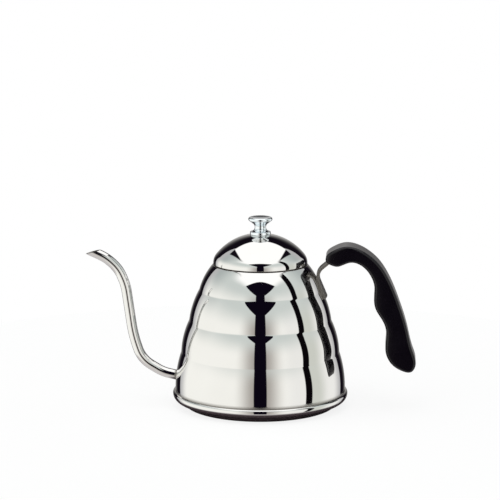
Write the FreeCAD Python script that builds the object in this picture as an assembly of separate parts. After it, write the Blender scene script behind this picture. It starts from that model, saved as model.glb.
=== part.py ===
import FreeCAD, Part
import math
import os

from FreeCAD import Vector

# A stove-top gooseneck kettle of polished stainless sheet, in millimetres.
# The axis of the body is Z and the table is z = 0. The spout points to -X and the handle to +X.

# Sheet thicknesses
body_wall = 0.6
pan_wall = 0.8
lid_wall = 0.6
spout_wall = 0.6

# Body: the mouth and the flat seat of the lid round it, then four bulged bands;
# the outside radius and height at the foot of each band, and the radius of each bulge above the skirt
mouth_radius = 36.3
mouth_fold = 0.8
mouth_lip = 7.0
seat_height = 117.8
seat_width = 2.69
seat_round = 0.8
band_radii = [50.3, 58.8, 65.4, 70.3]
band_heights = [96.6, 70.7, 44.5, 14.9]
band_bulges = [51.8, 71.5, 64.8]
groove_round = 5.0

# Base pan: a rolled rim under the body, a rounded shoulder, a narrower foot and a stiffening ring
seam_height = 12.2
rim_overhang = 2.1
foot_radius = 62.5
foot_height = 3.9
foot_fillet = 0.9
foot_round = 1.2
base_ring_radius = 52.0
base_ring_width = 6.0
base_ring_depth = 0.8

# Spout: a bent tube; the points are its corners, measured from where it meets the wall
spout_diameter = 8.3
spout_root_height = 23.4
spout_root_depth = 9.0
spout_corners = [(-10.9, 2.4), (-28.7, 13.1), (-35.6, 33.8), (-41.5, 75.8), (-47.2, 88.9), (-56.9, 98.1)]
spout_end = (-78.7, 107.8)
spout_bend_share = 0.45
tip_lip_reach = 73.9
tip_lip_rise = 101.6
tip_cut_slope = 15.6

# Handle strap: a foot curved round the body below the seat, one bend and a straight tang inside the grip
strap_thickness = 2.4
strap_foot_drop = 11.3
strap_foot_length = 15.5
strap_foot_width = 20.0
strap_sink = 0.5
strap_bend_radius = 10.0
tang_width = 13.0
tang_slope = 40.4
tang_start_reach = 10.0
tang_start_rise = 14.1
tang_length = 14.0
tang_hole_place = 7.0

# Grip: its side outline, measured from where the tang goes in, and its width
grip_outline = [
    (56.7, -30.1), (64.5, -54.0), (69.2, -72.5), (71.6, -84.6), (68.5, -89.7), (60.2, -88.9),
    (51.6, -83.0), (47.0, -73.3), (47.3, -56.6), (44.9, -48.3), (38.5, -37.4), (37.1, -30.9),
    (37.3, -19.0), (33.3, -8.4), (26.0, -1.1), (18.2, 1.1), (11.8, -0.9), (6.9, -2.4),
    (2.2, -1.4), (-2.4, 1.8), (-2.3, 5.9), (2.8, 10.5), (13.8, 14.3), (22.6, 12.9),
    (30.4, 9.1), (40.6, 0.5), (48.1, -10.5),
]
grip_width = 26.0
grip_edge_round = 2.2
slot_clearance = 0.1

# Lid: a domed cap that overlaps the mouth, with a folded rim just off the seat, a ring inside it that rests
# on the seat, and a collar that drops into the mouth
lid_overlap = 2.5
lid_rise = 24.3
lid_side_round = 11.2
lid_rim_fold = 0.8
lid_rim_gap = 0.4
lid_rim_shelf = 0.2
lid_flat_radius = 8.4
collar_clearance = 0.3
collar_depth = 9.0
collar_flange_gap = 0.35
collar_fold = 0.4

# Knob: turned, with a collar, a waist and a flared head with a dished top;
# each rise is from the radius before it
knob_collar_radius = 8.5
knob_collar_height = 2.7
knob_collar_round = 0.7
knob_shoulder_radius = 7.6
knob_waist_radius = 4.65
knob_waist_rise = 2.9
knob_neck_radius = 6.2
knob_neck_rise = 3.5
knob_brim_radius = 9.1
knob_brim_rise = 2.3
knob_head_radius = 9.9
knob_head_rise = 1.4
knob_edge_radius = 8.9
knob_edge_rise = 1.5
knob_dish_depth = 1.0
knob_thread_depth = 9.0

# Screws and washers, the same size at the grip and at the knob
screw_radius = 2.0
screw_head_radius = 3.6
screw_head_height = 2.2
screw_slot_width = 0.9
screw_slot_depth = 1.1
hole_clearance = 0.15
thread_clearance = 0.05
flat_washer_radius = 4.5
flat_washer_thickness = 0.8
spring_washer_radius = 3.6
spring_washer_thickness = 1.0
spring_washer_gap = 1.0
pocket_clearance = 0.4
grip_screw_seat = 4.0
grip_screw_past = 0.8
screw_end_room = 0.6

# Values that follow from the sizes above
base_radius = band_radii[-1]
flange_radius = base_radius + rim_overhang
collar_radius = mouth_radius - collar_clearance
lid_radius = mouth_radius + lid_overlap
strap_foot_high = seat_height - strap_foot_drop
strap_foot_low = strap_foot_high - strap_foot_length
AXIS = Vector(0, 0, 1)
ORIGIN = Vector(0, 0, 0)


def at(radius, height):
    """Point of a half section, or of the side view, in the XZ plane."""
    return Vector(radius, 0, height)


def line(start, end):
    return Part.LineSegment(start, end).toShape()


def lines(points):
    """Straight edges through the points, with none between two that fall together."""
    return [line(start, end) for start, end in zip(points, points[1:]) if not start.isEqual(end, 1e-6)]


def arc_about(centre, start, end):
    """Shorter arc from start to end about a centre."""
    outward = (start + end) / 2 - centre
    middle = centre + outward * (start.distanceToPoint(centre) / outward.Length)
    return Part.Arc(start, middle, end).toShape()


def arc_through(start, middle, end):
    return Part.Arc(start, middle, end).toShape()


def bulge_centre(upper, lower, radius):
    """Centre of the arc between two points of the outline that bulges away from the axis."""
    chord = lower - upper
    inward = at(chord.z, -chord.x) / chord.Length
    return (upper + lower) / 2 + inward * math.sqrt(radius ** 2 - (chord.Length / 2) ** 2)


def blend_arc(upper, upper_radius, lower, lower_radius, joint, blend):
    """Centre, start and end of the arc that rounds the joint of two bands, a groove or a ridge."""
    turn = (joint - lower).cross(joint - upper).y
    grown = math.copysign(blend, turn)
    reach = upper_radius + grown
    apart = lower - upper
    along = (apart.Length ** 2 + reach ** 2 - (lower_radius + grown) ** 2) / (2 * apart.Length)
    unit = apart / apart.Length
    sideways = at(unit.z, -unit.x) * math.sqrt(reach ** 2 - along ** 2)
    foot = upper + unit * along
    centre = min(foot + sideways, foot - sideways, key=joint.distanceToPoint)
    start = upper + (centre - upper) * (upper_radius / reach)
    end = lower + (centre - lower) * (lower_radius / (lower_radius + grown))
    return centre, start, end


def spun(edges):
    """Solid of revolution from the closed outline of a half section."""
    face = Part.Face(Part.Wire(edges))
    return face.revolve(ORIGIN, AXIS, 360)


def spun_sheet(edges, thickness):
    """Sheet-metal piece: an open outline thickened to one side and turned about the axis."""
    section = Part.Wire(edges).makeOffset2D(-thickness, fill=True, openResult=True)
    return section.revolve(ORIGIN, AXIS, 360)


def rounded_corner(before, corner, after, setback):
    """Where an arc that rounds a corner begins and ends, and its centre."""
    to_before = before - corner
    to_after = after - corner
    half_angle = to_before.getAngle(to_after) / 2
    bisector = to_before / to_before.Length + to_after / to_after.Length
    enter = corner + to_before * (setback / to_before.Length)
    leave = corner + to_after * (setback / to_after.Length)
    centre = corner + bisector * (setback / math.cos(half_angle) / bisector.Length)
    return enter, leave, centre


def bent_path(points, share):
    """Straight runs joined by tangent arcs that take a share of the shorter run at each corner."""
    edges = []
    start = points[0]
    for before, corner, after in zip(points, points[1:], points[2:]):
        setback = share * min(before.distanceToPoint(corner), after.distanceToPoint(corner))
        enter, leave, centre = rounded_corner(before, corner, after, setback)
        edges += [line(start, enter), arc_about(centre, enter, leave)]
        start = leave
    edges.append(line(start, points[-1]))
    return Part.Wire(edges)


# Body outline

def band_centres_and_radii():
    """Centre and radius of each bulged band; the last one runs into the straight skirt."""
    seat_edge = at(mouth_radius + seat_width, seat_height)
    last = band_joints[-1] - band_joints[-2]
    skirt_bulge = last.Length ** 2 / (2 * last.x)
    radii = band_bulges + [skirt_bulge]
    centres = [bulge_centre(upper, lower, radius)
               for upper, lower, radius in zip([seat_edge] + band_joints, band_joints, radii)]
    return centres, radii


band_joints = [at(radius, height) for radius, height in zip(band_radii, band_heights)]
band_centres, band_arc_radii = band_centres_and_radii()


def seat_corner():
    """Centre of the round between the top band and the flat seat of the lid."""
    height = seat_height - seat_round
    reach = band_arc_radii[0] - seat_round
    radius = band_centres[0].x + math.sqrt(reach ** 2 - (height - band_centres[0].z) ** 2)
    return at(radius, height)


def side_edges():
    """Outside of the body from the edge of the seat down to the seam."""
    corner = seat_corner()
    seat_edge = at(corner.x, seat_height)
    outward = (corner - band_centres[0]) / (band_arc_radii[0] - seat_round)
    start = band_centres[0] + outward * band_arc_radii[0]
    edges = [arc_about(corner, seat_edge, start)]
    bands = list(zip(band_centres, band_arc_radii))
    for upper, lower, joint in zip(bands, bands[1:], band_joints):
        groove, enter, leave = blend_arc(*upper, *lower, joint, groove_round)
        edges += [arc_about(upper[0], start, enter), arc_about(groove, enter, leave)]
        start = leave
    skirt_top = band_joints[-1]
    edges.append(arc_about(band_centres[-1], start, skirt_top))
    edges.append(line(skirt_top, at(base_radius, seam_height)))
    return edges


def filled_body():
    """The body as a full solid, to trim the pieces that are welded to it."""
    seat_edge = at(seat_corner().x, seat_height)
    closing = lines([at(base_radius, seam_height), at(0, seam_height), at(0, seat_height), seat_edge])
    return spun(side_edges() + closing)


def wall_radius(height):
    """Outside radius of the body at a height, on its bands."""
    for centre, radius, foot in zip(band_centres, band_arc_radii, band_heights):
        if height >= foot:
            return centre.x + math.sqrt(radius ** 2 - (height - centre.z) ** 2)
    return base_radius


def make_body_shell():
    lip_end = at(mouth_radius, seat_height - mouth_lip)
    lip_top = at(mouth_radius, seat_height - mouth_fold)
    seat_start = at(mouth_radius + mouth_fold, seat_height)
    fold_centre = at(mouth_radius + mouth_fold, seat_height - mouth_fold)
    mouth = [line(lip_end, lip_top),
             arc_about(fold_centre, lip_top, seat_start),
             line(seat_start, at(seat_corner().x, seat_height))]
    return spun_sheet(mouth + side_edges(), body_wall).cut(spout_bore())


# Base pan

def make_base_pan():
    rim_low = at(flange_radius, seam_height - rim_overhang)
    foot_top = at(foot_radius, foot_height - foot_fillet)
    foot_flat = at(foot_radius + foot_fillet, foot_height)
    shoulder_round = min(rim_low.z - foot_height, flange_radius - foot_flat.x)
    shoulder_centre = at(flange_radius - shoulder_round, foot_height + shoulder_round)
    shoulder_start = at(flange_radius, shoulder_centre.z)
    shoulder_end = at(shoulder_centre.x, foot_height)
    foot_low = at(foot_radius, foot_round)
    rest_edge = at(foot_radius - foot_round, 0)
    ring_inner = base_ring_radius - base_ring_width
    outline = [line(at(base_radius - body_wall, seam_height), at(base_radius, seam_height)),
               arc_about(at(base_radius, rim_low.z), at(base_radius, seam_height), rim_low)]
    outline += lines([rim_low, shoulder_start])
    outline.append(arc_about(shoulder_centre, shoulder_start, shoulder_end))
    outline += lines([shoulder_end, foot_flat])
    outline += [arc_about(at(foot_flat.x, foot_top.z), foot_flat, foot_top),
                line(foot_top, foot_low),
                arc_about(at(rest_edge.x, foot_low.z), foot_low, rest_edge)]
    outline += lines([rest_edge, at(base_ring_radius, 0),
                      at(base_ring_radius - base_ring_depth, base_ring_depth),
                      at(ring_inner + base_ring_depth, base_ring_depth), at(ring_inner, 0), ORIGIN])
    return spun_sheet(outline, pan_wall)


# Spout

spout_root = at(-wall_radius(spout_root_height), spout_root_height)


def spout_rod(radius):
    """A round rod along the spout, from inside the body to past the tip."""
    corners = [spout_root + at(*corner) for corner in spout_corners]
    inward = spout_root - corners[0]
    inside = spout_root + inward * (spout_root_depth / inward.Length)
    path = bent_path([inside] + corners + [spout_root + at(*spout_end)], spout_bend_share)
    mouth = Part.Wire(Part.makeCircle(radius, inside, inward))
    return path.makePipeShell([mouth], True, False)


def spout_bore():
    return spout_rod(spout_diameter / 2 - spout_wall)


def make_spout_tube():
    tube = spout_rod(spout_diameter / 2).cut(spout_bore()).cut(filled_body())
    lip = spout_root + at(-tip_lip_reach, tip_lip_rise)
    reach = tip_lip_reach
    above = Part.makeBox(2 * reach, 2 * reach, reach, Vector(-reach, -reach, 0))
    above.rotate(ORIGIN, Vector(0, -1, 0), tip_cut_slope)
    above.translate(lip)
    return tube.cut(above)


# Handle strap

tang_along = at(math.cos(math.radians(tang_slope)), math.sin(math.radians(tang_slope)))
tang_normal = at(-tang_along.z, tang_along.x)
foot_low_wall = at(wall_radius(strap_foot_low), strap_foot_low)
foot_high_wall = at(wall_radius(strap_foot_high), strap_foot_high)
foot_up = (foot_high_wall - foot_low_wall).normalize()
foot_normal = at(foot_up.z, -foot_up.x)
tang_start = foot_high_wall + at(tang_start_reach, tang_start_rise)
tang_end = tang_start + tang_along * tang_length
tang_hole = tang_start + tang_along * tang_hole_place


def strap_section(point, facing, width, inner, outer, dip):
    """Cross-section of the strap, flat or with its edges dipping towards the body."""
    side = Vector(0, width / 2, 0)

    def across(offset):
        middle = point + facing * offset
        edge = middle - facing * dip
        return arc_through(edge - side, middle, edge + side) if dip else line(edge - side, edge + side)

    low = across(-inner)
    high = across(outer)
    ends = [line(low.Vertexes[i].Point, high.Vertexes[i].Point) for i in (0, 1)]
    return Part.Wire([low, ends[1], high, ends[0]])


def strap_bend():
    """Start, end and centre of the bend between the foot's middle line and the tang's."""
    foot_line = foot_low_wall + foot_normal * (strap_thickness / 2)
    gap = tang_start - foot_line
    along_foot = gap.dot(tang_normal) / foot_up.dot(tang_normal)
    corner = foot_line + foot_up * along_foot
    half_angle = (foot_line - corner).getAngle(tang_start - corner) / 2
    return rounded_corner(foot_line, corner, tang_start, strap_bend_radius / math.tan(half_angle))


bend_start, bend_end, bend_centre = strap_bend()


def strap_stations():
    """Point, facing direction and wrap along the strap: full wrap on the foot, none after the bend."""
    foot_start = foot_low_wall + foot_normal * (strap_thickness / 2)
    stations = [(foot_start + (bend_start - foot_start) * share, foot_normal, 1) for share in (0, 0.5, 1)]
    turn = math.degrees((bend_start - bend_centre).getAngle(bend_end - bend_centre))
    for share in (0.25, 0.5, 0.75, 1):
        facing = FreeCAD.Rotation(Vector(0, 1, 0), turn * share).multVec(foot_normal)
        stations.append((bend_centre - facing * strap_bend_radius, facing, 1 - share))
    return stations


def bar(start, end, width, thickness):
    """Flat bar along the tang."""
    side = Vector(0, width / 2, 0)
    up = tang_normal * (thickness / 2)
    corners = [start - side - up, start + side - up, start + side + up, start - side + up]
    return Part.Face(Part.makePolygon(corners + corners[:1])).extrude(end - start)


def make_handle_bracket():
    stations = strap_stations()
    low = stations[0][0].z
    half = strap_thickness / 2
    sections = []
    for point, facing, wrap in stations:
        share = (point.z - low) / (bend_end.z - low)
        width = strap_foot_width + (tang_width - strap_foot_width) * share
        dip = wrap * (point.x - math.sqrt(point.x ** 2 - (width / 2) ** 2))
        inner = half + (strap_sink if wrap == 1 else 0)
        sections.append(strap_section(point, facing, width, inner, half, dip))
    foot = Part.makeLoft(sections, True)
    tang = bar(bend_end, tang_end, tang_width, strap_thickness)
    thread = Part.makeCylinder(screw_radius + thread_clearance, 2 * strap_thickness,
                               tang_hole - tang_normal * strap_thickness, tang_normal)
    return foot.fuse(tang).cut(filled_body()).cut(thread)


# Screws and washers, made at the origin with the seat at z = 0 and the head above it

def ring(outer, inner, thickness, low=0):
    disc = Part.makeCylinder(outer, thickness, at(0, low))
    return disc.cut(Part.makeCylinder(inner, thickness, at(0, low)))


def placed(shape, seat, outward):
    shape.Placement = FreeCAD.Placement(seat, FreeCAD.Rotation(AXIS, outward))
    return shape


def flat_washer():
    return ring(flat_washer_radius, screw_radius + hole_clearance, flat_washer_thickness)


def spring_washer():
    washer = ring(spring_washer_radius, screw_radius + hole_clearance,
                  spring_washer_thickness, flat_washer_thickness)
    split = Part.makeBox(spring_washer_radius, spring_washer_gap, spring_washer_thickness,
                         Vector(0, -spring_washer_gap / 2, flat_washer_thickness))
    return washer.cut(split)


def screw(length_below_seat):
    head_low = flat_washer_thickness + spring_washer_thickness
    shank = Part.makeCylinder(screw_radius, length_below_seat + head_low, at(0, -length_below_seat))
    head = Part.makeCylinder(screw_head_radius, screw_head_height, at(0, head_low))
    slot_low = head_low + screw_head_height - screw_slot_depth
    slot = Part.makeBox(2 * screw_head_radius, screw_slot_width, screw_slot_depth,
                        Vector(-screw_head_radius, -screw_slot_width / 2, slot_low))
    return shank.fuse(head).cut(slot)


# Grip

grip_seat = tang_hole - tang_normal * grip_screw_seat
grip_outward = tang_normal * -1
grip_screw_length = grip_screw_seat + strap_thickness / 2 + grip_screw_past


def make_grip():
    curve = Part.BSplineCurve()
    curve.interpolate(Points=[tang_start + at(*point) for point in grip_outline], PeriodicFlag=True)
    side = Part.Face(Part.Wire(curve.toShape()))
    side.translate(Vector(0, -grip_width / 2, 0))
    grip = side.extrude(Vector(0, grip_width, 0))
    rims = [edge for edge in grip.Edges if edge.BoundBox.YLength < grip_edge_round]
    grip = grip.makeFillet(grip_edge_round, rims)
    slot = bar(bend_end, tang_end + tang_along * slot_clearance,
               tang_width + 2 * slot_clearance, strap_thickness + 2 * slot_clearance)
    pocket = Part.makeCylinder(flat_washer_radius + pocket_clearance, grip_width,
                               grip_seat, grip_outward)
    hole = Part.makeCylinder(screw_radius + hole_clearance, grip_screw_length + screw_end_room,
                             grip_seat, tang_normal)
    return grip.cut(slot).cut(pocket).cut(hole)


# Lid

side_centre = at(lid_radius - lid_side_round, seat_height + lid_rim_gap + lid_rim_fold)
crown_radius = ((side_centre.x ** 2 + lid_rise ** 2 - lid_side_round ** 2)
                / (2 * (lid_rise - lid_side_round)))
crown_centre = at(0, side_centre.z + lid_rise - crown_radius)
lid_top = crown_centre.z + math.sqrt(crown_radius ** 2 - lid_flat_radius ** 2)
lid_ring_top = seat_height + lid_wall
lid_rest_radius = lid_radius - lid_rim_fold - lid_rim_shelf - lid_rim_gap
knob_seat = at(0, lid_top - lid_wall)


def make_lid_dome():
    flat_edge = at(lid_flat_radius, lid_top)
    to_side = side_centre - crown_centre
    side_start = crown_centre + to_side * (crown_radius / to_side.Length)
    side_end = at(lid_radius, side_centre.z)
    fold_end = at(lid_radius - lid_rim_fold, seat_height + lid_rim_gap)
    shelf_end = at(lid_rest_radius + lid_rim_gap, fold_end.z)
    rest_edge = at(lid_rest_radius, seat_height)
    outline = [
        line(at(screw_radius + hole_clearance, lid_top), flat_edge),
        arc_about(crown_centre, flat_edge, side_start),
        arc_about(side_centre, side_start, side_end),
        arc_about(at(fold_end.x, side_end.z), side_end, fold_end),
        *lines([fold_end, shelf_end, rest_edge, at(collar_radius + collar_fold, seat_height)]),
    ]
    return spun_sheet(outline, lid_wall)


def make_lid_collar():
    fold_start = at(collar_radius + collar_fold, lid_ring_top)
    fold_end = at(collar_radius, lid_ring_top - collar_fold)
    outline = [
        line(at(lid_rest_radius - collar_flange_gap, lid_ring_top), fold_start),
        arc_about(at(fold_start.x, fold_end.z), fold_start, fold_end),
        line(fold_end, at(collar_radius, seat_height - collar_depth)),
    ]
    return spun_sheet(outline, lid_wall)


def make_lid_knob():
    thread = screw_radius + thread_clearance
    thread_end = lid_top + knob_thread_depth
    shoulder = at(knob_shoulder_radius, lid_top + knob_collar_height)
    waist = at(knob_waist_radius, shoulder.z + knob_waist_rise)
    neck = at(knob_neck_radius, waist.z + knob_neck_rise)
    brim = at(knob_brim_radius, neck.z + knob_brim_rise)
    head = at(knob_head_radius, brim.z + knob_head_rise)
    edge = at(knob_edge_radius, head.z + knob_edge_rise)
    dish = at(0, edge.z - knob_dish_depth)
    dish_round = (edge.x ** 2 + knob_dish_depth ** 2) / (2 * knob_dish_depth)
    low_centre = at(knob_collar_radius - knob_collar_round, lid_top + knob_collar_round)
    high_centre = at(low_centre.x, shoulder.z - knob_collar_round)
    rim_low = at(knob_collar_radius, low_centre.z)
    rim_high = at(knob_collar_radius, high_centre.z)
    seat_edge = at(low_centre.x, lid_top)
    shelf_edge = at(high_centre.x, shoulder.z)
    outline = lines([at(0, thread_end), at(thread, thread_end), at(thread, lid_top), seat_edge])
    outline += [arc_about(low_centre, seat_edge, rim_low),
                line(rim_low, rim_high),
                arc_about(high_centre, rim_high, shelf_edge),
                line(shelf_edge, shoulder),
                arc_through(shoulder, waist, neck),
                line(neck, brim),
                arc_through(brim, head, edge),
                arc_about(dish + at(0, dish_round), edge, dish),
                line(dish, at(0, thread_end))]
    return spun(outline)


downward = AXIS * -1
pieces = {
    "body_shell": make_body_shell(),
    "base_pan": make_base_pan(),
    "spout_tube": make_spout_tube(),
    "handle_bracket": make_handle_bracket(),
    "grip": make_grip(),
    "grip_screw": placed(screw(grip_screw_length), grip_seat, grip_outward),
    "grip_flat_washer": placed(flat_washer(), grip_seat, grip_outward),
    "grip_spring_washer": placed(spring_washer(), grip_seat, grip_outward),
    "lid_dome": make_lid_dome(),
    "lid_collar": make_lid_collar(),
    "lid_knob": make_lid_knob(),
    "knob_screw": placed(screw(lid_wall + knob_thread_depth - screw_end_room), knob_seat, downward),
    "knob_flat_washer": placed(flat_washer(), knob_seat, downward),
    "knob_spring_washer": placed(spring_washer(), knob_seat, downward),
}

os.makedirs("parts", exist_ok=True)
for name, shape in pieces.items():
    shape.exportStep("parts/" + name + ".step")
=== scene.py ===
import math

import bmesh
import bpy
import numpy as np
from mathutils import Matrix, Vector


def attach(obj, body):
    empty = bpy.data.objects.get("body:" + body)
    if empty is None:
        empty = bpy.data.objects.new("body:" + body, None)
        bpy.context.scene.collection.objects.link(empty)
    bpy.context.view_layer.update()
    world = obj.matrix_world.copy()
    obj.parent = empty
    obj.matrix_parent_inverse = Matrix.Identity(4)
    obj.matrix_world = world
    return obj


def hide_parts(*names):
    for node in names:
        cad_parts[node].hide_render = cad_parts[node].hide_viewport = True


# A polished gooseneck kettle on a white studio floor. Sizes are in millimetres and angles in degrees.
# Half sections and side views are complex numbers: the real part is the radius or x, the imaginary part z.

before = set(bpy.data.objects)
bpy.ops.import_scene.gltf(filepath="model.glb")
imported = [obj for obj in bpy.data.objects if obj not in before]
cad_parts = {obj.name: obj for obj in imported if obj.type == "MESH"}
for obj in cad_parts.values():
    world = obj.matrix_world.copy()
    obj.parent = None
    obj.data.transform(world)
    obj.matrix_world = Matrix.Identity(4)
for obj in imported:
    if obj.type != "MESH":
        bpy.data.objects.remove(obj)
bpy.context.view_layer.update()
MM = 0.001

# Sheet thicknesses
BODY_WALL = 0.6
PAN_WALL = 0.8
LID_WALL = 0.6
SPOUT_WALL = 0.6

# Body: mouth, seat of the lid, and the outside points where its bulged bands meet. The first stretch of the
# outline, inside the mouth, takes the darker rolled tone as painted shade of the gap under the lid
MOUTH_RADIUS = 36.3
MOUTH_FOLD = 0.8
MOUTH_LIP = 7.0
SEAT_HEIGHT = 117.8
SEAT_ROUND = 0.8
MOUTH_PAINTED_SHADE = 9.3
BAND_JOINTS = [38.99 + 117.8j, 50.3 + 96.6j, 58.8 + 70.7j, 65.4 + 44.5j, 70.3 + 14.9j]
BAND_BULGES = [51.8, 71.5, 64.8]
GROOVE_ROUND = 5.0

# Base pan: rolled rim, rounded shoulder, narrower foot and stiffening ring
SEAM_HEIGHT = 12.2
RIM_OVERHANG = 2.1
FOOT_RADIUS = 62.5
FOOT_HEIGHT = 3.9
FOOT_FILLET = 0.9
FOOT_ROUND = 1.2
BASE_RING_RADIUS = 52.0
BASE_RING_WIDTH = 6.0
BASE_RING_DEPTH = 0.8

# Spout: corners of its middle line and lip of its tip, measured from where it meets the wall
SPOUT_DIAMETER = 8.3
SPOUT_ROOT_HEIGHT = 23.4
SPOUT_CORNERS = [-10.9 + 2.4j, -28.7 + 13.1j, -35.6 + 33.8j, -41.5 + 75.8j, -47.2 + 88.9j, -56.9 + 98.1j]
SPOUT_END = -78.7 + 107.8j
SPOUT_BEND_SHARE = 0.45
SPOUT_WELD = 0.7
SPOUT_SINK = 0.2
TIP_LIP = -73.9 + 101.6j
TIP_CUT_SLOPE = 15.6

# Handle strap: a foot on the wall, one bend, and a tang that starts above the top of the foot
STRAP_THICKNESS = 2.4
STRAP_FOOT_HEIGHTS = (91.0, 106.5)
STRAP_FOOT_WIDTH = 20.0
STRAP_SINK = 0.3
STRAP_BEND_RADIUS = 10.0
STRAP_EDGE_ROUND = 0.5
TANG_WIDTH = 13.0
TANG_SLOPE = 40.4
TANG_START = 10.0 + 14.1j
TANG_LENGTH = 14.0

# Lid: dome and folded rim, and the collar that drops into the mouth. The last stretch of the dome's
# outline, under the rim, takes the darker rolled tone as painted shade of the gap on the seat
LID_RADIUS = 38.8
LID_RISE = 24.3
LID_SIDE_ROUND = 11.2
LID_RIM_FOLD = 0.8
LID_RIM_GAP = 0.4
LID_REST_RADIUS = 37.4
LID_FLAT_RADIUS = 8.4
LID_HOLE_RADIUS = 2.15
RIM_PAINTED_SHADE = 3.0
COLLAR_RADIUS = 36.0
COLLAR_DEPTH = 9.0
COLLAR_FLANGE = 1.05
COLLAR_FOLD = 0.4

# Knob: points of its half section above the lid
KNOB_THREAD = 2.05 + 9.0j
KNOB_COLLAR = 8.5 + 2.7j
KNOB_EDGE_ROUND = 0.7
KNOB_SHOULDER = 7.6 + 2.7j
KNOB_WAIST = 4.65 + 5.6j
KNOB_NECK = 6.2 + 9.1j
KNOB_BRIM = 9.1 + 11.4j
KNOB_HEAD = 9.9 + 12.8j
KNOB_EDGE = 8.9 + 14.3j
KNOB_DISH = 13.3j

# Fineness of the meshes: points round a piece, and steps or rows along it
TURNS = 384
KNOB_TURNS = 192
FILLET_STEPS = 5
ROUND_STEPS = 6
BAND_STEPS = 22
GROOVE_STEPS = 8
ROLL_STEPS = 10
SHOULDER_STEPS = 16
CROWN_STEPS = 30
LID_SIDE_STEPS = 26
KNOB_ARC_STEPS = 14
KNOB_FLARE_STEPS = 4
KNOB_DISH_STEPS = 12
SPOUT_SIDES = 72
SPOUT_RUN_STEPS = 6
SPOUT_BEND_STEPS = 14
SPOUT_WELD_ROWS = 7
SPOUT_ROOT_ROWS = 3
SPOUT_TIP_ROWS = 5
SPOUT_ROOT_TRIES = 8
STRAP_FOOT_STEPS = 12
STRAP_BEND_STEPS = 14
STRAP_TANG_STEPS = 8
STRAP_EDGE_POINTS = 5
STRAP_FLAT_POINTS = 15
FLOOR_SIDES = 96
SHARP_ANGLE = 34.0
MERGE_DISTANCE = 0.001


# Outlines

def line(start, end, steps=1):
    """Straight run of equal steps from start to end."""
    return np.linspace(start, end, steps + 1)


def arc(centre, start, end, steps):
    """Shorter arc from start to end: the start turned about the centre by equal angles."""
    turn = np.angle((end - centre) / (start - centre))
    return centre + (start - centre) * np.exp(1j * turn * np.linspace(0, 1, steps + 1))


def arc_through(start, middle, end, steps):
    """Arc through three points; its centre is as far from each of them."""
    a, b = middle - start, end - start
    centre = start + a * b * (a - b).conjugate() / (a.conjugate() * b - a * b.conjugate())
    return joined(arc(centre, start, middle, steps), arc(centre, middle, end, steps))


def joined(*runs):
    """One outline from runs of points, each of which begins where the one before it ends."""
    return np.concatenate([runs[0]] + [run[1:] for run in runs[1:]])


def thickened(outline, wall):
    """Closed section of a sheet: the outline, then the line one wall to the right of it, backwards."""
    along = np.diff(outline)
    along /= np.abs(along)
    before = np.concatenate([along[:1], along])
    after = np.concatenate([along, along[-1:]])
    bisector = (before + after) / np.abs(before + after)
    inner = outline - 1j * bisector * wall / (bisector * before.conj()).real
    return np.concatenate([outline, inner[::-1]])


def bulge_centre(upper, lower, radius):
    """Centre of the arc between two points that bulges away from the axis."""
    chord = lower - upper
    inward = -1j * chord / abs(chord)
    return (upper + lower) / 2 + inward * math.sqrt(radius ** 2 - abs(chord / 2) ** 2)


def outer_crossing(centre_a, radius_a, centre_b, radius_b):
    """The crossing of two circles that is further from the axis."""
    apart = centre_b - centre_a
    along = (abs(apart) ** 2 + radius_a ** 2 - radius_b ** 2) / (2 * abs(apart))
    across = math.sqrt(radius_a ** 2 - along ** 2)
    unit = apart / abs(apart)
    return max((centre_a + unit * (along + 1j * side) for side in (across, -across)), key=lambda p: p.real)


# Meshes

def grid_faces(rows, columns, close_rows):
    """Quads between neighbouring points of a grid that is closed across its columns."""
    first_rows = np.arange(rows if close_rows else rows - 1)
    row, column = np.meshgrid(first_rows, np.arange(columns), indexing="ij")
    next_row, next_column = (row + 1) % rows, (column + 1) % columns
    corners = [row * columns + column, row * columns + next_column,
               next_row * columns + next_column, next_row * columns + column]
    return np.stack(corners, axis=-1).reshape(-1, 4)


def make_piece(name, points, faces, along, rolled_and_shade, body, node, slot, material):
    """Mesh object from points in millimetres; it stands for a CAD node and rides on its body.

    Its surface keeps how far each point lies along the section, and which points take the darker tone of
    rolled steel, which also paints shade by the lid.
    """
    mesh = bpy.data.meshes.new(name)
    mesh.from_pydata(points * MM, [], faces)
    shell = bmesh.new()
    shell.from_mesh(mesh)
    bmesh.ops.recalc_face_normals(shell, faces=shell.faces)
    shell.to_mesh(mesh)
    shell.free()
    for name_kept, values in (("along", along), ("rolled_and_shade", rolled_and_shade)):
        attribute = mesh.attributes.new(name_kept, "FLOAT", "POINT")
        attribute.data.foreach_set("value", values.astype(np.float32))
    mesh.shade_smooth()
    mesh.set_sharp_from_angle(angle=math.radians(SHARP_ANGLE))
    mesh.materials.append(material)
    piece = bpy.data.objects.new(name, mesh)
    bpy.context.scene.collection.objects.link(piece)
    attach(piece, body)
    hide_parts(node)
    return piece


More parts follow.
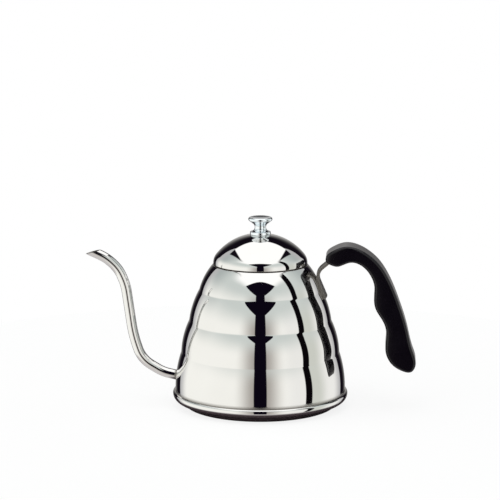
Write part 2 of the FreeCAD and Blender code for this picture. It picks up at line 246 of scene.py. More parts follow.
def turned(name, section, polished, turns, *where):
    """Surface of revolution of a closed half section: P(s, a) = (r(s) cos a, r(s) sin a, z(s)).

    Where the section touches the axis, at its first and last point, the ring shrinks to a pole.
    The section is polished between two lengths along it, and elsewhere darker as rolled, which by the lid is
    painted shade.
    """
    angle = np.linspace(0, 2 * math.pi, turns, endpoint=False)
    radius, height = section.real[:, None], section.imag[:, None]
    points = np.stack([radius * np.cos(angle), radius * np.sin(angle), height + 0 * angle], axis=-1)
    along = np.concatenate([[0], np.cumsum(np.abs(np.diff(section)))])
    rolled_and_shade = (along < polished[0]) | (along > polished[1])
    if section[0].real == 0:
        inner = len(section) - 2
        ring = np.arange(turns)
        following = (ring + 1) % turns
        last = 1 + (inner - 1) * turns
        points = np.concatenate([points[0, :1], points[1:-1].reshape(-1, 3), points[-1, :1]])
        along, rolled_and_shade = (np.concatenate([values[:1], np.repeat(values[1:-1], turns), values[-1:]])
                       for values in (along, rolled_and_shade))
        faces = (grid_faces(inner, turns, False) + 1).tolist()
        faces += np.stack([0 * ring, 1 + following, 1 + ring], axis=-1).tolist()
        faces += np.stack([0 * ring + len(points) - 1, last + ring, last + following], axis=-1).tolist()
    else:
        points = points.reshape(-1, 3)
        along, rolled_and_shade = np.repeat(along, turns), np.repeat(rolled_and_shade, turns)
        faces = grid_faces(len(section), turns, True).tolist()
    return make_piece(name, points, faces, along, rolled_and_shade, *where)


def length(outline):
    """Sum of the steps of an outline."""
    return np.abs(np.diff(outline)).sum()


# Nodes

def colour(code):
    """Linear colour of an sRGB hex code."""
    share = np.array([int(code[i:i + 2], 16) for i in (1, 3, 5)]) / 255
    linear = np.where(share <= 0.04045, share / 12.92, ((share + 0.055) / 1.055) ** 2.4)
    return (*linear.tolist(), 1.0)


def add(tree, kind, inputs=(), **settings):
    """Adds a node, makes its settings, and links or sets its inputs, listed by name or in order."""
    node = tree.nodes.new(kind)
    for setting, value in settings.items():
        setattr(node, setting, value)
    pairs = inputs.items() if isinstance(inputs, dict) else enumerate(inputs)
    for key, value in pairs:
        source = value.outputs[0] if isinstance(value, bpy.types.Node) else value
        if isinstance(source, bpy.types.NodeSocket):
            tree.links.new(source, node.inputs[key])
        else:
            node.inputs[key].default_value = source
    return node


def new_material(name):
    """Empty node material and its tree."""
    material = bpy.data.materials.new(name)
    material.use_nodes = True
    material.node_tree.nodes.clear()
    return material, material.node_tree


# Materials: the sizes of their patterns, in millimetres, and the range of roughness of each finish

RING_SPACING = 0.45
SMEAR_SIZE = 33.3
MARK_SIZE = 0.55
WEAR_SIZE = 16.7
NOISE_MIDDLE = (0.3, 0.7)
MIRROR_ROUGHNESS = (0.015, 0.035)
ROLLED_ROUGHNESS = 0.42
SATIN_ROUGHNESS = (0.24, 0.36)
PHENOLIC_ROUGHNESS = (0.12, 0.16)
PHENOLIC_IOR = 1.4
RING_STRENGTH = 0.006
RING_DEPTH = 0.01
# Darker tone of rolled steel, also painted on as shade by the lid's seat
ROLLED_AND_SHADE_TONE = "#8E8A85"


def polished_steel(name, dim, bright):
    """Steel with a mirror polish outside: faint rings left by the wheel, and faint smears in its shine.

    The inside is dull and darker, as rolled; the same darker tone on the edges by the lid's seat is painted
    shade. The rings are drawn coarser than real ones.
    """
    material, tree = new_material(name)
    along = add(tree, "ShaderNodeAttribute", attribute_name="along")
    rolled_and_shade = add(tree, "ShaderNodeAttribute", attribute_name="rolled_and_shade").outputs["Fac"]
    rings = add(tree, "ShaderNodeTexNoise", {
        "W": along.outputs["Fac"], "Scale": 1 / RING_SPACING, "Detail": 3.0}, noise_dimensions="1D")
    place = add(tree, "ShaderNodeTexCoord")
    smears = add(tree, "ShaderNodeTexNoise", {
        "Vector": place.outputs["Object"], "Scale": 1 / (SMEAR_SIZE * MM), "Detail": 4.0})
    shine = add(tree, "ShaderNodeValToRGB", {"Fac": smears})
    shine.color_ramp.elements[0].color = colour(dim)
    shine.color_ramp.elements[1].color = colour(bright)
    # Darker rolled tone where the attribute is set: rolled steel, and painted shade by the lid's seat
    tone = add(tree, "ShaderNodeMix", {0: rolled_and_shade, 6: shine, 7: colour(ROLLED_AND_SHADE_TONE)}, data_type="RGBA").outputs[2]
    gloss = add(tree, "ShaderNodeMapRange", [smears, *NOISE_MIDDLE, *MIRROR_ROUGHNESS])
    rough = add(tree, "ShaderNodeMapRange", [rolled_and_shade, 0.0, 1.0, gloss, ROLLED_ROUGHNESS])
    bump = add(tree, "ShaderNodeBump", {
        "Strength": RING_STRENGTH, "Distance": RING_DEPTH * MM, "Height": rings})
    steel = add(tree, "ShaderNodeBsdfPrincipled", {
        "Base Color": tone, "Metallic": 1.0, "Roughness": rough, "Normal": bump})
    add(tree, "ShaderNodeOutputMaterial", [steel])
    return material


def satin_steel():
    """Turned steel of screws and washers: a grey satin surface with fine turning marks."""
    material, tree = new_material("satin steel fasteners")
    place = add(tree, "ShaderNodeTexCoord")
    marks = add(tree, "ShaderNodeTexNoise", {
        "Vector": place.outputs["Object"], "Scale": 1 / (MARK_SIZE * MM), "Detail": 2.0})
    tone = add(tree, "ShaderNodeValToRGB", {"Fac": marks})
    tone.color_ramp.elements[0].color = colour("#A9A7A3")
    tone.color_ramp.elements[1].color = colour("#C2C0BC")
    rough = add(tree, "ShaderNodeMapRange", [marks, *NOISE_MIDDLE, *SATIN_ROUGHNESS])
    steel = add(tree, "ShaderNodeBsdfPrincipled", {"Base Color": tone, "Metallic": 1.0, "Roughness": rough})
    add(tree, "ShaderNodeOutputMaterial", [steel])
    return material


def black_phenolic():
    """Moulded black phenolic: a smooth skin, nearly black, with slight wear of its gloss."""
    material, tree = new_material("black phenolic")
    place = add(tree, "ShaderNodeTexCoord")
    wear = add(tree, "ShaderNodeTexNoise", {
        "Vector": place.outputs["Object"], "Scale": 1 / (WEAR_SIZE * MM), "Detail": 3.0})
    tone = add(tree, "ShaderNodeValToRGB", {"Fac": wear})
    tone.color_ramp.elements[0].color = colour("#0B080E")
    tone.color_ramp.elements[1].color = colour("#130F17")
    rough = add(tree, "ShaderNodeMapRange", [wear, *NOISE_MIDDLE, *PHENOLIC_ROUGHNESS])
    phenolic = add(tree, "ShaderNodeBsdfPrincipled", {
        "Base Color": tone, "Roughness": rough, "IOR": PHENOLIC_IOR})
    add(tree, "ShaderNodeOutputMaterial", [phenolic])
    return material


STEEL = polished_steel("polished stainless steel", "#E2E1DE", "#E9E8E6")
CHROME = polished_steel("chrome plate", "#E9F0F4", "#F1F6F9")
FASTENER = satin_steel()
PHENOLIC = black_phenolic()
POLISHED = "polished_steel"


# Body

def band_arcs():
    """Centre and radius of each bulged band; the last one runs into the upright skirt."""
    chord = BAND_JOINTS[-1] - BAND_JOINTS[-2]
    radii = BAND_BULGES + [abs(chord) ** 2 / (2 * chord.real)]
    return [(bulge_centre(upper, lower, radius), radius)
            for upper, lower, radius in zip(BAND_JOINTS, BAND_JOINTS[1:], radii)]


BANDS = band_arcs()


def wall_radius(height):
    """Outside radius of the body at a height on one of its bands."""
    for (centre, radius), foot in zip(BANDS, BAND_JOINTS[1:]):
        if height >= foot.imag:
            return centre.real + math.sqrt(radius ** 2 - (height - centre.imag) ** 2)
    return BAND_JOINTS[-1].real


def body_outline():
    """Outside of the body: lip of the mouth, seat of the lid, bands with rounded grooves, skirt."""
    fold = MOUTH_RADIUS + MOUTH_FOLD + 1j * (SEAT_HEIGHT - MOUTH_FOLD)
    first_centre, first_radius = BANDS[0]
    reach = first_radius - SEAT_ROUND
    corner_height = SEAT_HEIGHT - SEAT_ROUND
    corner_reach = math.sqrt(reach ** 2 - (corner_height - first_centre.imag) ** 2)
    corner = first_centre.real + corner_reach + 1j * corner_height
    start = first_centre + (corner - first_centre) * first_radius / reach
    seat_edge = corner + 1j * SEAT_ROUND
    runs = [line(MOUTH_RADIUS + 1j * (SEAT_HEIGHT - MOUTH_LIP), fold - MOUTH_FOLD),
            arc(fold, fold - MOUTH_FOLD, fold + 1j * MOUTH_FOLD, FILLET_STEPS),
            line(fold + 1j * MOUTH_FOLD, seat_edge),
            arc(corner, seat_edge, start, ROUND_STEPS)]
    for (upper, upper_radius), (lower, lower_radius) in zip(BANDS, BANDS[1:]):
        groove = outer_crossing(upper, upper_radius + GROOVE_ROUND, lower, lower_radius + GROOVE_ROUND)
        enter = upper + (groove - upper) * upper_radius / (upper_radius + GROOVE_ROUND)
        leave = lower + (groove - lower) * lower_radius / (lower_radius + GROOVE_ROUND)
        runs += [arc(upper, start, enter, BAND_STEPS), arc(groove, enter, leave, GROOVE_STEPS)]
        start = leave
    skirt = BAND_JOINTS[-1]
    runs += [arc(BANDS[-1][0], start, skirt, BAND_STEPS), line(skirt, skirt.real + 1j * SEAM_HEIGHT)]
    return joined(*runs)


BODY_OUTLINE = body_outline()
# The darker tone on the first stretch of the wall's outline is painted shade under the lid
turned("body_wall", thickened(BODY_OUTLINE, BODY_WALL), (MOUTH_PAINTED_SHADE, length(BODY_OUTLINE)), TURNS,
       "kettle", "body_shell", POLISHED, STEEL)


# Base pan

def pan_outline():
    """Outside of the base: rolled rim, rounded shoulder, narrower foot, stiffening ring, flat middle."""
    skirt_radius = BAND_JOINTS[-1].real
    rim = skirt_radius + RIM_OVERHANG
    rim_low = SEAM_HEIGHT - RIM_OVERHANG
    drop = rim_low - FOOT_HEIGHT
    shoulder_end = rim - drop + 1j * FOOT_HEIGHT
    foot_flat = FOOT_RADIUS + FOOT_FILLET + 1j * FOOT_HEIGHT
    foot_top = FOOT_RADIUS + 1j * (FOOT_HEIGHT - FOOT_FILLET)
    foot_low = FOOT_RADIUS + 1j * FOOT_ROUND
    rest_edge = FOOT_RADIUS - FOOT_ROUND + 0j
    ring_inner = BASE_RING_RADIUS - BASE_RING_WIDTH
    ring_rise = BASE_RING_RADIUS + (1j - 1) * BASE_RING_DEPTH
    ring_fall = ring_inner + (1j + 1) * BASE_RING_DEPTH
    return joined(
        line(skirt_radius - BODY_WALL + 1j * SEAM_HEIGHT, skirt_radius + 1j * SEAM_HEIGHT),
        arc(skirt_radius + 1j * rim_low, skirt_radius + 1j * SEAM_HEIGHT, rim + 1j * rim_low, ROLL_STEPS),
        arc(shoulder_end.real + 1j * rim_low, rim + 1j * rim_low, shoulder_end, SHOULDER_STEPS),
        line(shoulder_end, foot_flat),
        arc(foot_flat - 1j * FOOT_FILLET, foot_flat, foot_top, FILLET_STEPS),
        line(foot_top, foot_low),
        arc(rest_edge + 1j * FOOT_ROUND, foot_low, rest_edge, ROUND_STEPS),
        line(rest_edge, BASE_RING_RADIUS),
        line(BASE_RING_RADIUS, ring_rise),
        line(ring_rise, ring_fall),
        line(ring_fall, ring_inner),
        line(ring_inner, 0j))


def pole_to_pole(section):
    """The same closed section, from one of its two points on the axis to the other."""
    return np.roll(section, -1 - int(np.argmin(section.real)))


BASE_SECTION = pole_to_pole(thickened(pan_outline(), PAN_WALL))
turned("base_dish", BASE_SECTION, (length(BASE_SECTION) / 2, math.inf), TURNS,
       "kettle", "base_pan", POLISHED, STEEL)


# Spout

def rounded(before, corner, after, setback):
    """Where an arc that rounds a corner begins and ends, and its centre."""
    back = (before - corner) / abs(before - corner)
    on = (after - corner) / abs(after - corner)
    half_angle = abs(np.angle(on / back)) / 2
    centre = corner + (back + on) / abs(back + on) * setback / math.cos(half_angle)
    return corner + back * setback, corner + on * setback, centre


def spout_line(root):
    """Middle line of the bent part of the spout: straight runs joined by tangent arcs."""
    points = [root] + [root + corner for corner in SPOUT_CORNERS + [SPOUT_END]]
    runs = []
    for before, corner, after in zip(points, points[1:], points[2:]):
        setback = SPOUT_BEND_SHARE * min(abs(corner - before), abs(after - corner))
        enter, leave, centre = rounded(before, corner, after, setback)
        if runs:
            runs.append(line(runs[-1][-1], enter, SPOUT_RUN_STEPS))
        runs.append(arc(centre, enter, leave, SPOUT_BEND_STEPS))
    return joined(*runs)


def spout_rows(root, middle, radius, weld):
    """One wall of the spout: P(s, a) = C(s) + radius(s) (N(s) cos a, sin a), N square to the middle line C.

    The first row is where each line of the tube meets the body, with a weld fillet, and the last row is
    where it meets the slanting cut of the tip.
    """
    angle = np.linspace(0, 2 * math.pi, SPOUT_SIDES, endpoint=False)
    across, sideways = np.cos(angle), np.sin(angle)
    first = (middle[0] - root) / abs(middle[0] - root)
    last = (middle[-1] - middle[-2]) / abs(middle[-1] - middle[-2])
    tangent = np.gradient(middle)
    tangent = np.concatenate([[first], tangent[1:-1] / np.abs(tangent[1:-1]), [last]])

    band_centre, band_radius = BANDS[-1]
    start = np.zeros(SPOUT_SIDES)
    for _ in range(SPOUT_ROOT_TRIES):
        place = root + first * start + 1j * first * (radius + weld) * across
        wall = band_centre.real + np.sqrt(band_radius ** 2 - (place.imag - band_centre.imag) ** 2)
        start -= np.hypot(place.real, (radius + weld) * sideways) - wall
    rise = np.linspace(0, 1, SPOUT_WELD_ROWS) * weld
    flare = radius + weld - np.sqrt(weld ** 2 - (weld - rise) ** 2)
    clear = start + weld
    run_share = np.linspace(0, 1, SPOUT_ROOT_ROWS + 2)[1:-1, None]
    run = clear + run_share * (abs(middle[0] - root) - clear)
    distance = np.concatenate([start - SPOUT_SINK + rise[:, None], run])
    root_radius = np.concatenate([flare, np.full(len(run), radius)])

    cut_normal = 1j * np.exp(1j * math.radians(TIP_CUT_SLOPE))
    to_cut = root + TIP_LIP - middle[-1] - 1j * last * radius * across
    reach = (to_cut * cut_normal.conjugate()).real / (last * cut_normal.conjugate()).real
    tip = np.linspace(0, 1, SPOUT_TIP_ROWS + 1)[1:, None] * reach

    bent = middle[:, None] + 0 * across
    centre = np.concatenate([root + first * distance, bent, middle[-1] + last * tip])
    normal = 1j * np.concatenate([np.full(len(distance), first), tangent, np.full(len(tip), last)])
    size = np.concatenate([root_radius, np.full(len(middle) + len(tip), radius)])[:, None]
    plane = centre + normal[:, None] * size * across
    return np.stack([plane.real, size * sideways, plane.imag], axis=-1)


def make_spout():
    """Outside rows from the wall to the tip, then inside rows back; the bore and the weld are dull."""
    root = -wall_radius(SPOUT_ROOT_HEIGHT) + 1j * SPOUT_ROOT_HEIGHT
    middle = spout_line(root)
    outer = spout_rows(root, middle, SPOUT_DIAMETER / 2, SPOUT_WELD)
    inner = spout_rows(root, middle, SPOUT_DIAMETER / 2 - SPOUT_WALL, 0)
    points = np.concatenate([outer, inner[::-1]])
    along = np.cumsum(np.linalg.norm(np.diff(points[:, 0], axis=0, prepend=points[:1, 0]), axis=-1))
    row = np.arange(len(points))
    rolled_and_shade = (row >= len(outer)) | (row < SPOUT_WELD_ROWS)
    along, rolled_and_shade = np.repeat(along, SPOUT_SIDES), np.repeat(rolled_and_shade, SPOUT_SIDES)
    faces = grid_faces(len(points), SPOUT_SIDES, True).tolist()
    return make_piece("spout_pipe", points.reshape(-1, 3), faces, along, rolled_and_shade,
                      "kettle", "spout_tube", POLISHED, STEEL)


make_spout()


# Handle strap

def strap_section():
    """Rounded rectangle: shares of the half width, the rounding sideways, and the offset across the strap."""
    half = STRAP_THICKNESS / 2
    quarter = np.exp(1j * np.linspace(0, math.pi / 2, STRAP_EDGE_POINTS)) * STRAP_EDGE_ROUND
    flat = np.linspace(1, -1, STRAP_FLAT_POINTS + 2)[1:-1]
    level = 0 * flat
    one = np.ones(STRAP_EDGE_POINTS)
    share = np.concatenate([one, flat, -one, -one, -flat, one])
    rounding = np.concatenate([quarter, level, 1j * quarter, -quarter, level, -1j * quarter])
    corner_offset = half - STRAP_EDGE_ROUND
    flat_offset = level + half
    core = np.concatenate([corner_offset * one, flat_offset, corner_offset * one,
                           -corner_offset * one, -flat_offset, -corner_offset * one])
    return share, rounding.real, core + rounding.imag


def make_strap():
    """Flat bar swept along its bent middle line; P(s, k) = C(s) + F(s) (o(k) - dip), y(k) across it.

    On the foot the section dips at its sides like the round wall behind it, and the dip fades over the
    bend. The whole strap is left as rolled.
    """
    low, high = (wall_radius(height) + 1j * height for height in STRAP_FOOT_HEIGHTS)
    up = (high - low) / abs(high - low)
    facing = -1j * up
    tang = np.exp(1j * math.radians(TANG_SLOPE))
    tang_start = high + TANG_START
    foot = low + facing * STRAP_THICKNESS / 2
    gap = tang_start - foot
    corner = foot + up * (gap * (1j * tang).conjugate()).real / (up * (1j * tang).conjugate()).real
    half_angle = abs(np.angle((foot - corner) / (tang_start - corner))) / 2
    setback = STRAP_BEND_RADIUS / math.tan(half_angle)
    bend_start, bend_end, bend_centre = rounded(foot, corner, tang_start, setback)
    end = tang_start + tang * TANG_LENGTH

    bend = arc(bend_centre, bend_start, bend_end, STRAP_BEND_STEPS)
    middle = joined(line(foot, bend_start, STRAP_FOOT_STEPS), bend, line(bend_end, end, STRAP_TANG_STEPS))
    bend_facing = (bend_centre - bend) / STRAP_BEND_RADIUS
    face = np.concatenate([np.full(STRAP_FOOT_STEPS, facing), bend_facing,
                           np.full(STRAP_TANG_STEPS, bend_facing[-1])])[:, None]
    wrap = np.concatenate([np.ones(STRAP_FOOT_STEPS), np.linspace(1, 0, STRAP_BEND_STEPS + 1),
                           np.zeros(STRAP_TANG_STEPS)])[:, None]
    share_up = np.clip((middle.imag - foot.imag) / (bend_end.imag - foot.imag), 0, 1)[:, None]
    half_width = (STRAP_FOOT_WIDTH + (TANG_WIDTH - STRAP_FOOT_WIDTH) * share_up) / 2

    share, rounding, offset = strap_section()
    side = share * (half_width - STRAP_EDGE_ROUND) + rounding
    dip = wrap * (middle.real[:, None] - np.sqrt(middle.real[:, None] ** 2 - side ** 2))
    sunk = offset - np.where(offset < 0, wrap * STRAP_SINK, 0)
    plane = middle[:, None] + face * (sunk - dip)
    points = np.stack([plane.real, side, plane.imag], axis=-1)
    rows, columns = side.shape
    along = np.repeat(np.cumsum(np.abs(np.diff(middle, prepend=middle[0]))), columns)
    faces = grid_faces(rows, columns, False).tolist()
    faces += [list(range(columns)), list(range((rows - 1) * columns, rows * columns))]
    return make_piece("strap", points.reshape(-1, 3), faces, along, np.ones(len(along)),
                      "kettle", "handle_bracket", POLISHED, STEEL)


make_strap()


# Lid

LID_SIDE_CENTRE = LID_RADIUS - LID_SIDE_ROUND + 1j * (SEAT_HEIGHT + LID_RIM_GAP + LID_RIM_FOLD)
CROWN_RADIUS = ((LID_SIDE_CENTRE.real ** 2 + LID_RISE ** 2 - LID_SIDE_ROUND ** 2)
                / (2 * (LID_RISE - LID_SIDE_ROUND)))
CROWN_CENTRE = 1j * (LID_SIDE_CENTRE.imag + LID_RISE - CROWN_RADIUS)
LID_TOP = CROWN_CENTRE.imag + math.sqrt(CROWN_RADIUS ** 2 - LID_FLAT_RADIUS ** 2)


def dome_outline():
    """Outside of the lid: flat under the knob, crown, rounded side, folded rim and its ring on the seat."""
    flat_edge = LID_FLAT_RADIUS + 1j * LID_TOP
    to_side = LID_SIDE_CENTRE - CROWN_CENTRE
    side_start = CROWN_CENTRE + to_side * CROWN_RADIUS / abs(to_side)
    side_end = LID_SIDE_CENTRE + LID_SIDE_ROUND
    fold_end = LID_RADIUS - LID_RIM_FOLD + 1j * (SEAT_HEIGHT + LID_RIM_GAP)
    step = LID_REST_RADIUS + LID_RIM_GAP + fold_end.imag * 1j
    rest = LID_REST_RADIUS + 1j * SEAT_HEIGHT
    return joined(line(LID_HOLE_RADIUS + 1j * LID_TOP, flat_edge),
                  arc(CROWN_CENTRE, flat_edge, side_start, CROWN_STEPS),
                  arc(LID_SIDE_CENTRE, side_start, side_end, LID_SIDE_STEPS),
                  arc(fold_end + 1j * LID_RIM_FOLD, side_end, fold_end, ROUND_STEPS),
                  line(fold_end, step), line(step, rest),
                  line(rest, COLLAR_RADIUS + COLLAR_FOLD + 1j * SEAT_HEIGHT))


def collar_outline():
    """Inside ring of the lid: a flange on the folded rim and a wall that drops into the mouth."""
    ring_top = SEAT_HEIGHT + LID_WALL
    fold = COLLAR_RADIUS + COLLAR_FOLD + 1j * (ring_top - COLLAR_FOLD)
    return joined(line(COLLAR_RADIUS + COLLAR_FLANGE + 1j * ring_top, fold + 1j * COLLAR_FOLD),
                  arc(fold, fold + 1j * COLLAR_FOLD, fold - COLLAR_FOLD, FILLET_STEPS),
                  line(fold - COLLAR_FOLD, COLLAR_RADIUS + 1j * (SEAT_HEIGHT - COLLAR_DEPTH)))


def knob_section():
    """Turned knob from its screw hole round its collar, waist and brim to its dished top."""
    low_centre = KNOB_COLLAR.real + (1j - 1) * KNOB_EDGE_ROUND
    high_centre = KNOB_COLLAR - (1j + 1) * KNOB_EDGE_ROUND
    seat_edge, rim_low = low_centre - 1j * KNOB_EDGE_ROUND, low_centre + KNOB_EDGE_ROUND
    rim_high, shelf_edge = high_centre + KNOB_EDGE_ROUND, high_centre + 1j * KNOB_EDGE_ROUND
    dish = KNOB_EDGE.imag - KNOB_DISH.imag
    dish_centre = KNOB_DISH + 1j * (KNOB_EDGE.real ** 2 + dish ** 2) / (2 * dish)
    hole = KNOB_THREAD.real
    outline = joined(line(1j * KNOB_THREAD.imag, KNOB_THREAD), line(KNOB_THREAD, hole),
                     line(hole, seat_edge),
                     arc(low_centre, seat_edge, rim_low, ROUND_STEPS),
                     line(rim_low, rim_high),
                     arc(high_centre, rim_high, shelf_edge, ROUND_STEPS),
                     line(shelf_edge, KNOB_SHOULDER),
                     arc_through(KNOB_SHOULDER, KNOB_WAIST, KNOB_NECK, KNOB_ARC_STEPS),
                     line(KNOB_NECK, KNOB_BRIM, KNOB_FLARE_STEPS),
                     arc_through(KNOB_BRIM, KNOB_HEAD, KNOB_EDGE, KNOB_ARC_STEPS),
                     arc(dish_centre, KNOB_EDGE, KNOB_DISH, KNOB_DISH_STEPS))
    return outline + 1j * LID_TOP


DOME_OUTLINE = dome_outline()
# The darker tone on the last stretch of the cap's outline is painted shade under the rim
turned("lid_cap", thickened(DOME_OUTLINE, LID_WALL), (0, length(DOME_OUTLINE) - RIM_PAINTED_SHADE), TURNS,
       "lid", "lid_dome", POLISHED, STEEL)
turned("lid_ring", thickened(collar_outline(), LID_WALL), (math.inf, 0), TURNS,
       "lid", "lid_collar", POLISHED, STEEL)
turned("knob", knob_section(), (0, math.inf), KNOB_TURNS,
       "lid", "lid_knob", POLISHED, CHROME)


# Pieces kept from the solid model

def keep(node, material):
    """Gives a node its material; its flat triangles are merged and shaded smooth between sharp edges."""
    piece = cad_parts[node]
    piece.data.materials.clear()
    piece.data.materials.append(material)
    piece.data.shade_smooth()
    piece.modifiers.new("weld", "WELD").merge_threshold = MERGE_DISTANCE * MM
    split = piece.modifiers.new("sharp edges", "EDGE_SPLIT")
    split.split_angle = math.radians(SHARP_ANGLE)
    split.use_edge_sharp = False


keep("grip", PHENOLIC)
for node in ("grip_screw", "grip_flat_washer", "grip_spring_washer",
             "knob_screw", "knob_flat_washer", "knob_spring_washer"):
    keep(node, FASTENER)


# Studio: white walls and a ceiling light round the kettle, with dark gaps between them that steel mirrors.
# Azimuth is 0 towards the camera and grows to the right; elevation is above the horizon. A place on the
# ceiling is how far it lies to the side, or to the back, for each unit of its height. A soft edge is the
# place where a layer begins to show and the place where it shows in full.

CAMERA_AZIMUTH = 3.0
WALL = "#FFFFFB"
WALL_RIGHT = "#F6F6F4"
PANEL_RIGHT = "#D4D7D0"
STEM_HALO = "#ABA6A1"
WALL_HIGH = "#D2D9D7"
CORNER_HIGH = "#B2BABA"
CORNER = "#BCBCBE"
GAP = "#120D16"
BACK = "#D2D0CE"
STRIP = "#0A070B"
STEM = "#0C0714"
LAMP = "#FFFFFF"
BELOW_FLOOR = "#D0CCCC"
STUDIO_STRENGTH = 1.12
LAMP_GAIN = 1.15
HORIZON_LIFT = 0.001
EDGE_BLUR = 0.6
RIGHT_WALL_EDGE = (24.0, 52.0)
PANEL_LEFT_EDGE = (70.0, 74.0)
PANEL_RIGHT_EDGE = (108.0, 84.0)
HALO_EDGE = (38.0, 6.0)
HIGH_WALL_EDGE = (6.0, 36.0)
HIGH_CORNER_LOW_EDGE = (2.0, 32.0)
HIGH_CORNER_SIDE_EDGE = (80.0, 125.0)
CORNER_EDGE = (116.0, 139.0)
FRONT_LAMP_LOW_EDGE = (40.0, 55.0)
FRONT_LAMP_SIDE_EDGE = (95.0, 55.0)
GAP_EDGE = (138.4, 139.6)
BACK_SIDE_EDGE = (149.0, 192.0)
BACK_TOP_EDGE = (35.0, 7.0)
STRIP_LEFT_EDGE = (63.4, 64.6)
STRIP_TOP_EDGE = (58.0, 54.0)
TRIM_FRONT_EDGE = (-0.4, -0.1)
TRIM_SIDE_EDGE = (0.02, -0.02)
CEILING_FRONT_EDGE = (-0.95, -0.75)
CEILING_BACK_EDGE = (0.76, 0.70)
FLOOR_EDGE = (-32.0, -40.0)
STEM_HALF = 8.7
FAN_HALF = 35.0
FAN_ELEVATIONS = (28.0, 43.0)
FAN_TOP = 54.0
FAN_CURVE = 0.009
CEILING_PLACES = (-0.17, 0.72)
CEILING_SIDES = (0.625, 0.715)
TRIM_WIDTHS = (0.02, 0.27)
CEILING_BLUR_PLACES = (-0.6, 0.0)
CEILING_BLURS = (0.22, 0.02)
STRIP_ELEVATIONS = (20.0, 50.0)
STRIP_EDGES = (74.5, 79.0)


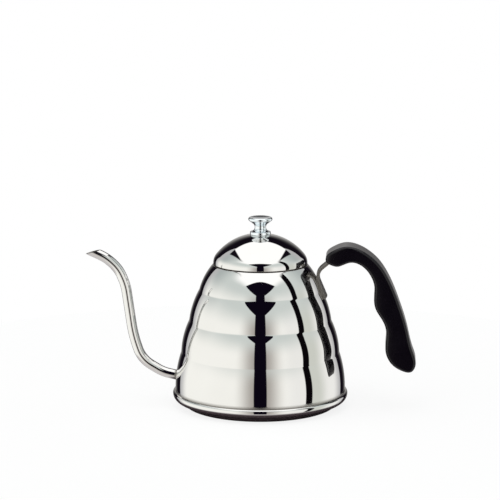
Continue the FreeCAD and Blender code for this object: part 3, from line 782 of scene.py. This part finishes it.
def studio():
    """World of soft white light; each layer is laid over those before it, within its soft-edged limits."""
    world = bpy.data.worlds.new("studio")
    world.use_nodes = True
    tree = world.node_tree
    tree.nodes.clear()
    bpy.context.scene.world = world
    direction = add(tree, "ShaderNodeTexCoord").outputs["Generated"]
    from_camera = add(tree, "ShaderNodeVectorRotate", {
        "Vector": direction, "Angle": -math.radians(CAMERA_AZIMUTH)}, rotation_type="Z_AXIS")
    x, y, z = add(tree, "ShaderNodeSeparateXYZ", [from_camera]).outputs
    front = add(tree, "ShaderNodeMath", [y, -1.0], operation="MULTIPLY")
    turn = add(tree, "ShaderNodeMath", [x, front], operation="ARCTAN2")
    azimuth = add(tree, "ShaderNodeMath", [turn], operation="DEGREES")
    side = add(tree, "ShaderNodeMath", [azimuth], operation="ABSOLUTE")
    tilt = add(tree, "ShaderNodeMath", [z], operation="ARCSINE")
    elevation = add(tree, "ShaderNodeMath", [tilt], operation="DEGREES")
    lift = add(tree, "ShaderNodeMath", [z, HORIZON_LIFT], operation="MAXIMUM")
    width = add(tree, "ShaderNodeMath", [x], operation="ABSOLUTE")
    ceiling_side = add(tree, "ShaderNodeMath", [width, lift], operation="DIVIDE")
    ceiling_back = add(tree, "ShaderNodeMath", [y, lift], operation="DIVIDE")
    # The dark stem and the fan over it, where the camera stands, widen with elevation under a bowed top
    half = add(tree, "ShaderNodeMapRange", [elevation, *FAN_ELEVATIONS, STEM_HALF, FAN_HALF])
    beside_stem = add(tree, "ShaderNodeMath", [side, half], operation="SUBTRACT")
    bow = add(tree, "ShaderNodeMath", [side, side], operation="MULTIPLY")
    fan_top = add(tree, "ShaderNodeMath", [bow, -FAN_CURVE, FAN_TOP], operation="MULTIPLY_ADD")
    above_fan = add(tree, "ShaderNodeMath", [elevation, fan_top], operation="SUBTRACT")
    # The ceiling light and its dark edge are widest at the back, and its sides are soft at the front
    limit = add(tree, "ShaderNodeMapRange", [ceiling_back, *CEILING_PLACES, *CEILING_SIDES])
    trim = add(tree, "ShaderNodeMapRange", [ceiling_back, *CEILING_PLACES, *TRIM_WIDTHS])
    blur = add(tree, "ShaderNodeMapRange", [ceiling_back, *CEILING_BLUR_PLACES, *CEILING_BLURS])
    beside_lamp = add(tree, "ShaderNodeMath", [ceiling_side, limit], operation="SUBTRACT")
    beside_trim = add(tree, "ShaderNodeMath", [beside_lamp, trim], operation="SUBTRACT")
    lamp_edge = add(tree, "ShaderNodeMath", [beside_lamp, blur], operation="DIVIDE")
    # The dark strip at the right widens upwards
    strip_edge = add(tree, "ShaderNodeMapRange", [elevation, *STRIP_ELEVATIONS, *STRIP_EDGES])
    past_strip = add(tree, "ShaderNodeMath", [azimuth, strip_edge], operation="SUBTRACT")

    narrow = (EDGE_BLUR, -EDGE_BLUR)
    layers = [
        (WALL_RIGHT, [(azimuth, RIGHT_WALL_EDGE)]),
        (PANEL_RIGHT, [(azimuth, PANEL_LEFT_EDGE), (azimuth, PANEL_RIGHT_EDGE)]),
        (STEM_HALO, [(side, HALO_EDGE)]),
        (WALL_HIGH, [(elevation, HIGH_WALL_EDGE)]),
        (CORNER_HIGH, [(elevation, HIGH_CORNER_LOW_EDGE), (side, HIGH_CORNER_SIDE_EDGE)]),
        (CORNER, [(side, CORNER_EDGE)]),
        (LAMP, [(elevation, FRONT_LAMP_LOW_EDGE), (side, FRONT_LAMP_SIDE_EDGE)]),
        (GAP, [(side, GAP_EDGE)]),
        (BACK, [(side, BACK_SIDE_EDGE), (elevation, BACK_TOP_EDGE)]),
        (STRIP, [(azimuth, STRIP_LEFT_EDGE), (past_strip, narrow), (elevation, STRIP_TOP_EDGE)]),
        (GAP, [(ceiling_back, TRIM_FRONT_EDGE), (ceiling_back, CEILING_BACK_EDGE),
               (beside_trim, TRIM_SIDE_EDGE)]),
        (LAMP, [(ceiling_back, CEILING_FRONT_EDGE), (ceiling_back, CEILING_BACK_EDGE),
                (lamp_edge, (1.0, -1.0))]),
        (STEM, [(beside_stem, narrow), (above_fan, narrow)]),
        (BELOW_FLOOR, [(elevation, FLOOR_EDGE)]),
    ]
    light = colour(WALL)
    for code, limits in layers:
        mask = 1.0
        for place, soft_edge in limits:
            edge = add(tree, "ShaderNodeMapRange", [place, *soft_edge, 0.0, 1.0],
                       interpolation_type="SMOOTHSTEP")
            mask = add(tree, "ShaderNodeMath", [mask, edge], operation="MULTIPLY")
        level = LAMP_GAIN if code == LAMP else 1.0
        tone = [channel * level for channel in colour(code)]
        light = add(tree, "ShaderNodeMix", {0: mask, 6: light, 7: tone}, data_type="RGBA").outputs[2]
    lit = add(tree, "ShaderNodeBackground", {"Color": light, "Strength": STUDIO_STRENGTH})
    white = add(tree, "ShaderNodeBackground", {"Color": colour(LAMP), "Strength": 1.0})
    seen = add(tree, "ShaderNodeLightPath").outputs["Is Camera Ray"]
    add(tree, "ShaderNodeOutputWorld", [add(tree, "ShaderNodeMixShader", [seen, lit, white])])


studio()


# Floor: a white disc that keeps a soft shadow; steel mirrors the studio past it, and the shade at the foot

FLOOR_RADIUS = 400.0
FLOOR_GLOW = 0.84
FLOOR_TONE = "#7A7A7A"
FOOT_SHADE = "#5A4E54"
FOOT_SHADE_RADII = (76.0, 84.0)


def make_floor():
    """Flat disc of the points (R cos a, R sin a, 0); only the camera sees its white face."""
    angle = np.linspace(0, 2 * math.pi, FLOOR_SIDES, endpoint=False)
    points = np.stack([np.cos(angle), np.sin(angle), 0 * angle], axis=-1) * FLOOR_RADIUS * MM
    mesh = bpy.data.meshes.new("floor")
    mesh.from_pydata(points, [], [list(range(FLOOR_SIDES))])
    material, tree = new_material("white floor")
    path = add(tree, "ShaderNodeLightPath")
    place = add(tree, "ShaderNodeTexCoord").outputs["Object"]
    radius = add(tree, "ShaderNodeVectorMath", [place], operation="LENGTH").outputs["Value"]
    inner, outer = FOOT_SHADE_RADII
    past = add(tree, "ShaderNodeMapRange", [radius, inner * MM, outer * MM, 0.0, 1.0],
               interpolation_type="SMOOTHSTEP")
    matt = add(tree, "ShaderNodeBsdfDiffuse", {"Color": colour(FLOOR_TONE)})
    glow = add(tree, "ShaderNodeEmission", {"Color": colour(LAMP), "Strength": FLOOR_GLOW})
    seen = add(tree, "ShaderNodeAddShader", [matt, glow])
    shade = add(tree, "ShaderNodeBsdfDiffuse", {"Color": colour(FOOT_SHADE)})
    mirrored = add(tree, "ShaderNodeMixShader", [past, shade, add(tree, "ShaderNodeBsdfTransparent")])
    add(tree, "ShaderNodeOutputMaterial", [add(tree, "ShaderNodeMixShader", [
        path.outputs["Is Camera Ray"], mirrored, seen])])
    mesh.materials.append(material)
    floor = bpy.data.objects.new("floor", mesh)
    bpy.context.scene.collection.objects.link(floor)


make_floor()


# Camera at the photograph's viewing angle, with the pixel of the picture that its target falls on

CAMERA_DISTANCE = 1900.0
CAMERA_ELEVATION = 12.25
CAMERA_TARGET = Vector((0, 0, 70.0))
IMAGE_SIZE = 500
FOCAL_PIXELS = 2298.6
TARGET_PIXEL = (260.35, 320.79)
SENSOR_WIDTH = 36.0
NEAREST_SEEN = 50.0


def make_camera():
    """Camera that looks down at the target from a distance, turned so that the target falls on its pixel."""
    turn, tilt = math.radians(CAMERA_AZIMUTH), math.radians(CAMERA_ELEVATION)
    level = Vector((-math.sin(turn), math.cos(turn), 0))
    right = Vector((math.cos(turn), math.sin(turn), 0))
    ahead = level * math.cos(tilt) - Vector((0, 0, math.sin(tilt)))
    up = level * math.sin(tilt) + Vector((0, 0, math.cos(tilt)))
    middle = IMAGE_SIZE / 2
    aim = (ahead + right * (middle - TARGET_PIXEL[0]) / FOCAL_PIXELS
           - up * (middle - TARGET_PIXEL[1]) / FOCAL_PIXELS)
    data = bpy.data.cameras.new("camera")
    data.sensor_width = SENSOR_WIDTH
    data.lens = SENSOR_WIDTH * FOCAL_PIXELS / IMAGE_SIZE
    data.clip_start = NEAREST_SEEN * MM
    camera = bpy.data.objects.new("camera", data)
    camera.location = (CAMERA_TARGET - ahead * CAMERA_DISTANCE) * MM
    camera.rotation_euler = aim.to_track_quat("-Z", "Y").to_euler()
    bpy.context.scene.collection.objects.link(camera)
    bpy.context.scene.camera = camera


make_camera()
bpy.context.scene.view_settings.view_transform = "Standard"
